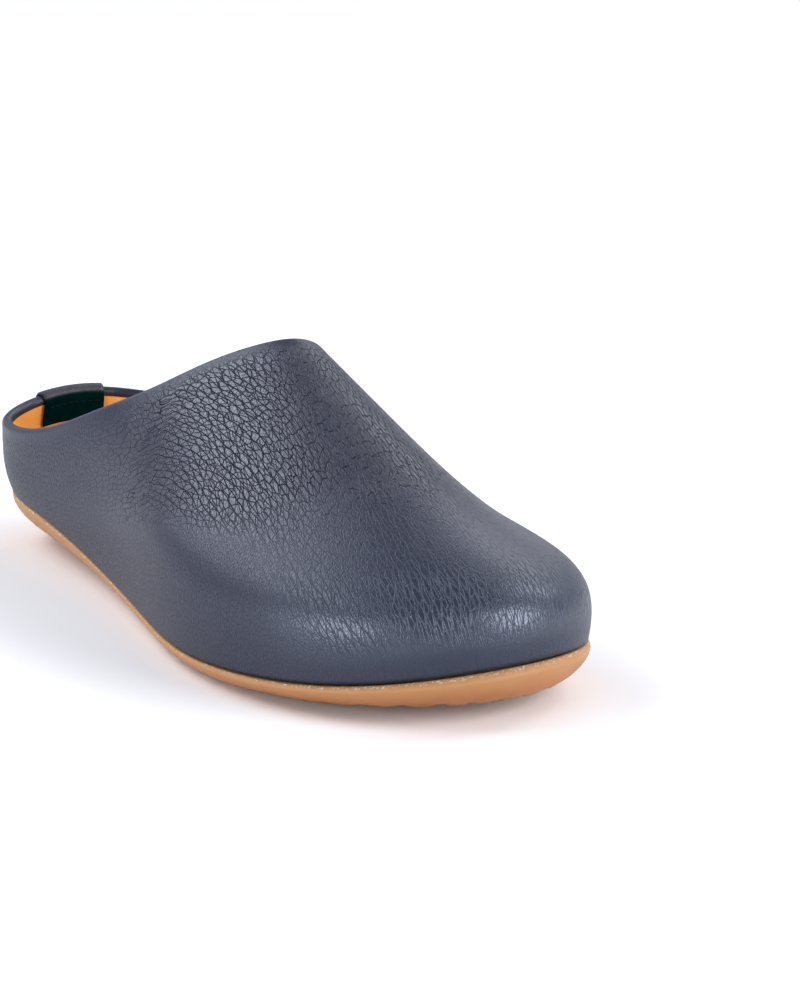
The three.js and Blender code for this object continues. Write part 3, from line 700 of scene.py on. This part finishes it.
def flat_pattern():
    """The upper peeled open at the heel and relaxed flat: pattern places (lines, rows, 2) in mm."""
    wall = Wall(np.linspace(0, COUNT, PATTERN["lines"]))
    share = np.linspace(0, 1, PATTERN["rows"])
    solid = wall.at(wall.top[:, None] * share, np.zeros((1, 1)))
    out = feather_outward(wall.u) * (1, -1)
    flat = solid[:, -1:, :2] + out[:, None] * (wall.top[:, None] * (1 - share))[..., None]
    links = []
    rows, columns = solid.shape[:2]
    for down, right in ((0, 1), (1, 0), (1, 1), (1, -1)):
        first = (slice(0, rows - down), slice(max(0, -right), columns - max(0, right)))
        second = (slice(down, rows), slice(max(0, right), columns - max(0, -right)))
        rest = np.linalg.norm(solid[second] - solid[first], axis=-1, keepdims=True)
        links.append((first, second, rest))
    for _ in range(PATTERN["rounds"]):
        push = np.zeros_like(flat)
        for first, second, rest in links:
            gap = flat[second] - flat[first]
            length = np.maximum(np.linalg.norm(gap, axis=-1, keepdims=True), 1e-6)
            move = gap * (1 - rest / length) / 2
            push[first] += move
            push[second] -= move
        flat += push / PATTERN["damping"]
    return flat


def pattern_places(u, shares):
    """Pattern place of each line u (not wrapped) and share of the way from feather line to topline."""
    flat = flat_pattern()
    line = np.clip(np.asarray(u) / COUNT * (PATTERN["lines"] - 1), 0, PATTERN["lines"] - 1.001)
    row = np.clip(shares * (PATTERN["rows"] - 1), 0, PATTERN["rows"] - 1.001)
    i, j = np.floor(line).astype(int)[:, None], np.floor(row).astype(int)
    f, g = (line[:, None] - i)[..., None], (row - j)[..., None]
    low = flat[i, j] * (1 - f) + flat[i + 1, j] * f
    high = flat[i, j + 1] * (1 - f) + flat[i + 1, j + 1] * f
    return low * (1 - g) + high * g


def give_pattern(piece, places):
    """Pattern places (lines + 1, columns, 2) onto the corners of a grid closed round its lines."""
    lines, columns = places.shape[0] - 1, places.shape[1]
    layer = piece.data.attributes.new("pattern", "FLOAT_VECTOR", "CORNER")
    corners = np.empty(len(piece.data.loops), np.int64)
    piece.data.loops.foreach_get("vertex_index", corners)
    line, column = corners // columns, corners % columns
    face_line = np.arange(len(corners)) // (4 * columns)
    line = np.where((face_line == lines - 1) & (line == 0), lines, line)
    flat = places[line, column]
    vectors = np.concatenate([flat, np.zeros((len(flat), 1))], 1)
    layer.data.foreach_set("vector", vectors.astype(np.float32).ravel())


def feather_run(u):
    """Distance round the shoe along the feather line, in mm."""
    steps = np.linalg.norm(np.diff(feather(u), axis=0), axis=1)
    return np.concatenate([[0], np.cumsum(steps)])


SHELL_ROWS = {"outer": 120, "rim": 18, "fold": 6, "back": 30}
SHELL_FOOT = 0.3  # arc at which the outer face starts


def shell_section(wall):
    """The leather's section from its foot, over the rim and down the back: a list of (arcs, depths)."""
    top = wall.top[:, None]
    rise = np.linspace(0, 1, SHELL_ROWS["outer"])[None, :]
    turn = np.linspace(0, math.pi, SHELL_ROWS["rim"])[None, 1:-1]
    fold = top - np.linspace(RIM_RADIUS, RIM_TURN, SHELL_ROWS["fold"])[None, :]
    tuck = top - RIM_TURN - np.array([[0.15, 0.15]])
    low = LEATHER + 1.5
    drop = np.linspace(1, 0, SHELL_ROWS["back"])[None, :]
    return [
        (SHELL_FOOT + rise * (top - RIM_RADIUS - SHELL_FOOT), np.zeros_like(rise)),
        (top - RIM_RADIUS + RIM_RADIUS * np.sin(turn), RIM_RADIUS * (1 - np.cos(turn))),
        (fold, np.full((1, SHELL_ROWS["fold"]), RIM_DEPTH)),
        (tuck, np.array([[RIM_DEPTH - 0.25, LEATHER + 0.3]])),
        (low + drop * (top - RIM_TURN - 1 - low), np.full((1, SHELL_ROWS["back"]), LEATHER)),
    ]


def give_masks(piece, wall, section, columns):
    """The attributes that the leather's material reads."""
    outer, rim = section[0][0], section[1][0]
    zones = Zones(wall, outer)
    masks = {name: np.zeros((LINES, columns)) for name in ("crease", "gather", "pebble", "cap", "fine")}
    for name, mask in masks.items():
        mask[:, : outer.shape[1]] = getattr(zones, name)()
    # where the painted shade of the turned edge goes
    masks["turned"] = np.zeros((LINES, columns))
    masks["turned"][:, outer.shape[1] + rim.shape[1] + SHELL_ROWS["fold"] // 2 :] = 1
    masks["around"] = np.broadcast_to(feather_run(wall.u)[:, None], (LINES, columns))
    for name, mask in masks.items():
        give_attribute(piece, name, mask)


def upper_shell(material):
    """The whole-cut upper: outer face, rolled rim, back face and the margin turned in underneath."""
    wall = Wall(np.arange(LINES) * COUNT / LINES)
    section = shell_section(wall)
    arcs = np.concatenate([arcs for arcs, _ in section], 1)
    points = wall.at(arcs, np.concatenate([depths for _, depths in section], 1))
    under = [(-2.4, LEATHER), (-MARGIN, LEATHER), (-MARGIN, 0.0), (-0.9, 0.0)]
    margin = np.stack([span_points(beside_feather(wall.u, out), up) for out, up in under], 1)
    loops = np.concatenate([points, margin], 1)
    columns = loops.shape[1]
    faces = grid_faces(LINES, columns, wrap_rows=True, wrap_columns=True)
    piece = new_piece("upper_leather_skin", loops, faces, material, ["upper_leather"])
    give_masks(piece, wall, section, columns)
    arcs = np.concatenate([arcs, np.zeros((LINES, len(under)))], 1)
    shares = np.clip(arcs / wall.top[:, None], 0, 1)
    shares = np.concatenate([shares, shares[:1]])
    give_pattern(piece, pattern_places(np.arange(LINES + 1) * COUNT / LINES, shares))
    return piece


def lining_part(name, start, end, node, material):
    """Lining between two places round the shoe, from the turned edge down past the sock liner."""
    steps = int((end - start) * LINES / COUNT)
    rows = 60
    wall = Wall(np.linspace(start, end, steps))
    high = wall.top[:, None] - RIM_TURN + 0.3
    front = LINING_FOOT + np.linspace(0, 1, rows)[None, :] * (high - LINING_FOOT)
    lip = np.broadcast_to(high, (steps, 1)) + 0.15
    arcs = np.concatenate([front, lip, front[:, ::-1]], 1)
    depths = np.concatenate([np.full(rows, LINING[1]), [sum(LINING) / 2], np.full(rows, LINING[0])])
    loops = wall.at(arcs, depths[None, :])
    width = loops.shape[1]
    faces = grid_faces(steps, width, wrap_columns=True, flip=True)
    last = (steps - 1) * width
    for ring in (list(range(width)), list(range(last, last + width))[::-1]):
        for i in range(rows - 1):
            faces.append((ring[i], ring[i + 1], ring[-i - 2], ring[-i - 1]))
    return new_piece(name, loops, faces, material, [node])


# ---- heel tab
class TabStrip:
    """The folded strip over the heel rim. Places on it are mm across the heel and mm along the strip."""

    def __init__(self):
        self.x = np.linspace(-TAB["half_width"], TAB["half_width"], 61)
        fine = np.linspace(-0.9, 0.9, 721)
        rims = Wall(fine).points[:, -1]
        sideways = rims[:, 0] - MIDLINE_TO_ORIGIN
        order = np.argsort(sideways)
        self.u_at = lambda x: np.interp(x, sideways[order], fine[order])
        self.route = self.make_route()
        steps = np.linalg.norm(np.diff(self.route, axis=0), axis=1)
        self.length = np.concatenate([[0], np.cumsum(steps)])

    def make_route(self):
        """(arc past the topline, depth) from the foot of the outer leg, over the rim and down inside."""
        outside, inside = -TAB["clearance"], RIM_DEPTH + TAB["clearance"]
        radius = (inside - outside) / 2
        turn = np.linspace(0, math.pi, 33)
        over = np.stack([-RIM_RADIUS + radius * np.sin(turn), outside + radius * (1 - np.cos(turn))], 1)
        crook = -RIM_RADIUS - 0.3
        steps = 20
        outer = np.stack([np.linspace(-TAB["outer_leg"], crook, steps), np.full(steps, outside)], 1)
        inner = np.stack([np.linspace(crook, -TAB["inner_leg"], steps), np.full(steps, inside)], 1)
        return np.concatenate([outer, over, inner])

    def on_route(self, along):
        return np.stack([np.interp(along, self.length, self.route[:, k]) for k in range(2)], -1)

    def at(self, x, along, lift):
        """Row-frame points at x across, along the strip, raised off its inner face."""
        step = 0.2
        along_way = unit(self.on_route(along + step) - self.on_route(along - step))
        outward = np.stack([along_way[:, 1], -along_way[:, 0]], -1)
        place = self.on_route(along) + outward * np.reshape(lift, (-1, 1))
        wall = Wall(self.u_at(np.atleast_1d(x)))
        arcs = wall.top[:, None] + place[None, :, 0]
        return wall.at(arcs, np.broadcast_to(place[None, :, 1], arcs.shape))


def edge_rounding(inset):
    """Share of the full thickness at a distance in from a rounded edge."""
    return np.sqrt(np.clip(inset / 0.5, 0.05, 1))


def heel_tab(strip, material):
    """The strip: a pillow section swept along the route."""
    total = strip.length[-1]
    middle = np.linspace(0.6, total - 0.6, 90)
    along = np.concatenate([[0, 0.25], middle, total + np.array([-0.25, 0])])
    end_round = edge_rounding(np.minimum(along, total - along))
    side_round = edge_rounding(strip.x[-1] - np.abs(strip.x))
    half = TAB["thickness"] / 2
    sides = []
    for sign in (1, -1):
        lifts = half + sign * half * side_round[:, None] * end_round
        sides.append(np.stack([strip.at(x, along, lift)[0] for x, lift in zip(strip.x, lifts)]))
    rows, columns = sides[0].shape[:2]
    points = np.concatenate(sides).reshape(-1, 3)
    count = rows * columns
    faces = grid_faces(rows, columns) + grid_faces(rows, columns, start=count, flip=True)
    rim = [r * columns for r in range(rows)] + [(rows - 1) * columns + c for c in range(1, columns)]
    rim += [r * columns + columns - 1 for r in range(rows - 2, -1, -1)] + list(range(columns - 2, 0, -1))
    faces += [(a, b, b + count, a + count) for a, b in zip(rim, rim[1:] + rim[:1])]
    piece = new_piece("heel_tab_strip", points, faces, material, ["heel_tab"])
    crest = TAB["outer_leg"] + RIM_RADIUS * math.pi / 2
    inner = smoothstep(along, crest - 0.1, crest + 0.5)
    give_attribute(piece, "inner", np.tile(inner, 2 * rows))
    return piece


def stitch(centre, along, across, up):
    """One stitch: a short thread with its ends diving into the leather."""
    radius, sides = STITCH["radius"], STITCH["sides"]
    points = []
    for t in np.linspace(-1, 1, STITCH["rings"]):
        lift = radius * (1.1 - 1.9 * t * t)
        size = radius * (1 - 0.35 * t * t)
        for a in np.arange(sides) * 2 * math.pi / sides:
            round_it = up * (lift + size * math.sin(a)) + across * size * math.cos(a)
            points.append(centre + along * (t * STITCH["length"] / 2) + round_it)
    return np.array(points), grid_faces(STITCH["rings"], sides, wrap_columns=True)


def stitch_rows(strip, name, places, node, material):
    """Stitches at places (x, along the strip, whether the stitch runs across it)."""
    def spot(x, along, above=0):
        return strip.at(x, np.array([along]), TAB["thickness"] + above)[0, 0]

    points = []
    faces = []
    step = 0.8
    for x, along, runs_across in places:
        centre = spot(x, along)
        lengthways = unit(spot(x, along + step) - centre)
        sideways = unit(spot(x + step, along) - centre)
        up = unit(np.cross(lengthways, sideways))
        up = up * np.sign(np.dot(up, spot(x, along, 1) - centre))
        run, cross = (sideways, lengthways) if runs_across else (lengthways, sideways)
        thread, quads = stitch(centre, run, cross, up)
        faces += [tuple(i + len(points) * len(thread) for i in quad) for quad in quads]
        points.append(thread)
    return new_piece(name, np.concatenate(points), faces, material, [node])


def tab_stitching(strip, material):
    """Down the side edges of the outer leg, across its foot, and across the inner leg."""
    foot, inner = STITCH_ROWS["foot"], strip.length[-1] - STITCH_ROWS["inner"]
    down = np.arange(STITCH_ROWS["first"], STITCH_ROWS["last"], STITCH["pitch"])
    for edge, side in (("lateral", -1), ("medial", 1)):
        x = side * (TAB["half_width"] - STITCH["inset"])
        places = [(x, along, False) for along in down]
        halves = np.arange(0.5, 4.5) * STITCH["pitch"] * side
        for along in (inner, foot):
            places += [(float(across), along, True) for across in halves]
        stitch_rows(strip, "tab_stitches_" + edge, places, "tab_stitch_" + edge, material)


# ---- footbed
def across_plan(ring, columns):
    """Plan grid spanned between the two halves of a closed ring, and the shares across it."""
    half = LINES // 2
    left = ring[: half + 1]
    right = np.concatenate([ring[:1], ring[: half - 1 : -1]])
    across = np.linspace(0, 1, columns)
    grid = left[:, None] * (1 - across)[None, :, None] + right[:, None] * across[None, :, None]
    return grid, across


def sock_liner(material):
    """Leather cover of the footbed, slightly dished."""
    wall = Wall(np.arange(LINES) * COUNT / LINES)
    level = np.full((LINES, 1), SOCK["top"])
    edge = wall.at(level, np.full((1, 1), LINING[1] + 0.1))[:, 0]
    plan = np.stack([edge[:, 0] - MIDLINE_TO_ORIGIN, HEEL_TO_ORIGIN - edge[:, 1]], 1)
    grid, across = across_plan(plan, COLUMNS["sock"])
    dish = SOCK["dish"] * (2 * np.abs(across - 0.5)) ** 4
    top = span_points(grid, SOCK["top"] + dish[None, :] - SOCK["dish"] / 2)
    bottom = span_points(grid, SOCK["top"] - SOCK["dish"] / 2 - SOCK["under"])
    rows, columns = top.shape[:2]
    points = np.concatenate([top, bottom]).reshape(-1, 3)
    count = rows * columns
    faces = grid_faces(rows, columns) + grid_faces(rows, columns, start=count, flip=True)
    for c in (0, columns - 1):
        for r in range(rows - 1):
            a, b = r * columns + c, (r + 1) * columns + c
            faces.append((a, a + count, b + count, b) if c == 0 else (a, b, b + count, a + count))
    return new_piece("sock_liner_cover", points, faces, material, ["sock_liner"])


# ---- sole
def groove_depth(s):
    """Depth of the cross grooves of the tread at s, with sloped sides."""
    depth = np.zeros_like(s)
    for start, end in (TREAD["heel"], TREAD["forefoot"]):
        for place in np.arange(start, end, TREAD["pitch"]):
            half = TREAD["width"] / 2
            profile = 1 - smoothstep(np.abs(s - place - half), half - 0.5, half + 0.3)
            depth = np.maximum(depth, TREAD["depth"] * profile)
    return depth


def toe_lugs(plan):
    """Height that the notches between the toe lugs cut off the tread edge."""
    dx, ds = plan[..., 0] - LUGS["centre"][0], plan[..., 1] - LUGS["centre"][1]
    turn = np.arctan2(dx, ds)
    wave = np.abs((turn / LUGS["pitch"] + LUGS["uneven"] * np.sin(5 * turn)) % 1 - 0.5) * 2
    cut = smoothstep(wave, 0.35, 1.0) * smoothstep(np.hypot(dx, ds), *LUGS["reach"])
    return LUGS["depth"] * cut * smoothstep(ds, 0, 12)


# shares of the way down the outer wall at which its rings lie
WALL_SHARES = (0, 0.02, 0.05, 0.09, *np.linspace(0.14, 0.93, 20), 0.96, 0.98, 0.993, 1.0)


def wall_rings(u, top, bottom, lip, undercut):
    """Rings down the bowed outer wall, and how near to the top edge each one is."""
    rings = []
    for f in WALL_SHARES:
        bow = lip * (1 - f**3) * min(1, (f / 0.15) ** 0.6 if f else 0)
        soft = SOLE_EDGE * smoothstep(f, 0.9, 1.0)
        plan = beside_feather(u, bow - undercut * f * f - soft)
        cut = np.maximum(groove_depth(plan[:, 1]), toe_lugs(plan))
        height = top + (bottom - top) * f + cut * smoothstep(f, 0.72, 0.94)
        rings.append(lifted(plan, height))
    return rings, [np.full(LINES, 1 - f) for f in WALL_SHARES]


def outsole(material):
    """Gum cupsole: bowed wall, rounded lower edge, lugged underside, and the cup for the midsole."""
    u = np.arange(LINES) * COUNT / LINES
    lip, undercut, bottom = (sole_value(k, u) for k in range(3))
    bottom = np.maximum(bottom, 0)
    rings, edge = wall_rings(u, feather(u)[:, 2] - SOLE_SEAT, bottom, lip, undercut)

    def ladder(inset, columns, above):
        """Grid across the shoe: the tread when above is 0, else a plain floor above the tread."""
        ring = np.concatenate([beside_feather(u, -undercut - inset), bottom[:, None]], 1)
        grid, _ = across_plan(ring, columns)
        grid[..., 2] += above if above else np.maximum(groove_depth(grid[..., 1]), toe_lugs(grid))
        return to_row_frame(grid)

    underside = ladder(SOLE_EDGE, COLUMNS["underside"], 0)
    floor = ladder(SOLE_FLOOR, COLUMNS["cup_floor"], SOLE_FLOOR)
    mouth = span_points(beside_feather(u, -SOLE_WALL), -SOLE_SEAT)
    floor_ring = lifted(beside_feather(u, -undercut - SOLE_FLOOR), bottom + SOLE_FLOOR)
    stack = [floor_ring, mouth, *rings]
    faces = grid_faces(len(stack), LINES, wrap_columns=True)
    start = len(stack) * LINES
    faces += grid_faces(*underside.shape[:2], start=start, flip=True)
    start += underside.shape[0] * underside.shape[1]
    faces += grid_faces(*floor.shape[:2], start=start)
    points = np.concatenate([part.reshape(-1, 3) for part in (*stack, underside, floor)])
    piece = new_piece("outsole_gum", points, faces, material, ["outsole"])
    rest = np.zeros(len(points) - len(stack) * LINES)
    give_attribute(piece, "edge", np.concatenate([np.full(2 * LINES, 0.5), *edge, rest]))
    return piece


# ---- stage
# The stage's lengths are in metres.
WORLD = {"horizon": (0.6, 0.61, 0.69), "zenith": (0.34, 0.35, 0.42)}
PANEL_DISTANCE = 1.4
PANEL_TARGET = (0, 0, 0.05)
PANELS = {  # direction from the shoe, size, radiance
    "back_panel": ((-0.33, 0.67, 0.66), (1.0, 0.75), 3.5),
    "left_panel": ((-0.7, 0.2, 0.68), (0.6, 0.6), 3.8),
    "front_panel": ((0.45, -0.84, 0.34), (0.9, 0.9), 7.6),
    "right_panel": ((0.76, -0.04, 0.65), (0.6, 0.7), 3.6),
    "far_panel": ((0.64, 0.54, 0.55), (0.7, 0.6), 1.9),
    "side_panel": ((-0.98, -0.15, 0.12), (0.8, 0.55), 9.0),
}
FLOOR_REACH = 6.0
PAPER = ((0.92, 0.92, 0.92), (0.94, 0.94, 0.94))


def place_camera():
    azimuth, elevation, roll = (math.radians(CAMERA[k]) for k in ("azimuth", "elevation", "roll"))
    level = math.cos(elevation)
    back = Vector((math.sin(azimuth) * level, -math.cos(azimuth) * level, math.sin(elevation)))
    right = Vector((math.cos(azimuth), math.sin(azimuth), 0))
    up = back.cross(right)
    aim = right * CAMERA["shift"][0] + up * CAMERA["shift"][1] + Vector((0, 0, CAMERA["shift"][2]))
    aim += Vector((MIDLINE_TO_ORIGIN, HEEL_TO_ORIGIN - CAMERA["aim_s"], 0))
    tilted_right = right * math.cos(roll) + up * math.sin(roll)
    tilted_up = up * math.cos(roll) - right * math.sin(roll)
    data = bpy.data.cameras.new("camera")
    data.lens = CAMERA["lens"]
    data.sensor_width = CAMERA["sensor"]
    data.clip_end = 100
    camera = new_object("camera", data)
    where = (aim + back * CAMERA["distance"]) * MM
    axes = (tilted_right, tilted_up, back)
    camera.matrix_world = Matrix.Translation(where) @ Matrix(axes).transposed().to_4x4()
    bpy.context.scene.camera = camera


def panel(name, toward, size, radiance):
    """Soft rectangular panel in the given direction from the shoe, aimed at it."""
    data = bpy.data.lights.new(name, "AREA")
    data.shape = "RECTANGLE"
    data.size, data.size_y = size
    data.energy = radiance * math.pi * size[0] * size[1]
    light = new_object(name, data)
    target = Vector(PANEL_TARGET)
    light.location = target + Vector(toward).normalized() * PANEL_DISTANCE
    light.rotation_euler = (target - light.location).to_track_quat("-Z", "Y").to_euler()


def build_world():
    world = bpy.data.worlds.new("studio")
    bpy.context.scene.world = world
    world.use_nodes = True
    tree = world.node_tree
    direction = add(tree, "TexCoord").outputs["Generated"]
    upward = add(tree, "SeparateXYZ", i0=direction).outputs["Z"]
    sky = blend_colours(tree, ramp(tree, upward, 0.02, 0.6), WORLD["horizon"], WORLD["zenith"])
    tree.links.new(sky, tree.nodes["Background"].inputs["Color"])


def build_floor():
    mesh = bpy.data.meshes.new("floor")
    corners = [(x * FLOOR_REACH, y * FLOOR_REACH, 0) for x, y in ((-1, -1), (1, -1), (1, 1), (-1, 1))]
    mesh.from_pydata(corners, [], [(0, 1, 2, 3)])
    floor = new_object("floor", mesh)
    paper, tree, shader = new_material("paper", (0.93, 0.93, 0.93), 0.9)
    feed(tree, shader, Specular_IOR_Level=0.1)
    colour = blend_colours(tree, noise_value(tree, millimetres(tree), 60), *PAPER)
    feed(tree, shader, Base_Color=colour)
    mesh.materials.append(paper)


# ---- assembly
INNER_LOOKS = {  # light and dark tone, grain size, roughness, other settings
    "foam": ((0.68, 0.65, 0.56), (0.58, 0.55, 0.46), 0.8, 0.9, {}),
    "cork": ((0.42, 0.24, 0.1), (0.2, 0.09, 0.03), 1.8, 0.95, {"depth": 0.3}),
    "spring_steel": ((0.42, 0.43, 0.45), (0.3, 0.31, 0.33), 0.6, 0.35, {"metallic": 1.0, "depth": 0.02}),
    "board": ((0.5, 0.35, 0.18), (0.36, 0.24, 0.11), 0.5, 0.9, {}),
    "stiffener": ((0.78, 0.74, 0.64), (0.62, 0.58, 0.48), 0.4, 0.9, {}),
}
INNER_NODES = {
    "foam": ("midsole_heel_wedge", "midsole_forefoot", "footbed_foam"),
    "cork": ("bottom_filler", "heel_pad", "arch_pad"),
    "spring_steel": ("shank",),
    "board": ("insole_board",),
    "stiffener": ("toe_puff", "heel_counter", "topline_tape"),
}


def finish_cad_nodes():
    """Inner CAD nodes that stay as they are get their own materials."""
    for name, (light, dark, size, roughness, settings) in INNER_LOOKS.items():
        material = grainy(name, light, dark, size, roughness, **settings)
        for node in INNER_NODES[name]:
            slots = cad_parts[node].data.materials
            slots.clear()
            slots.append(material)


def build_clog():
    leather = navy_leather()
    lining = smooth_leather("tan_lining", **LINING_LOOK)
    dark = tab_leather()
    upper_shell(leather)
    quarter = SEAM_STATION - SEAM_GAP
    lining_part("vamp_lining_skin", SEAM_STATION, COUNT - SEAM_STATION, "vamp_lining", lining)
    lining_part("quarter_lining_skin", -quarter, quarter, "quarter_lining", lining)
    strip = TabStrip()
    heel_tab(strip, dark)
    tab_stitching(strip, thread_material())
    sock_liner(lining)
    outsole(gum_rubber())


bpy.context.scene.view_settings.view_transform = "Standard"
place_camera()
build_world()
build_floor()
for name, (toward, size, radiance) in PANELS.items():
    panel(name, toward, size, radiance)
build_clog()
finish_cad_nodes()
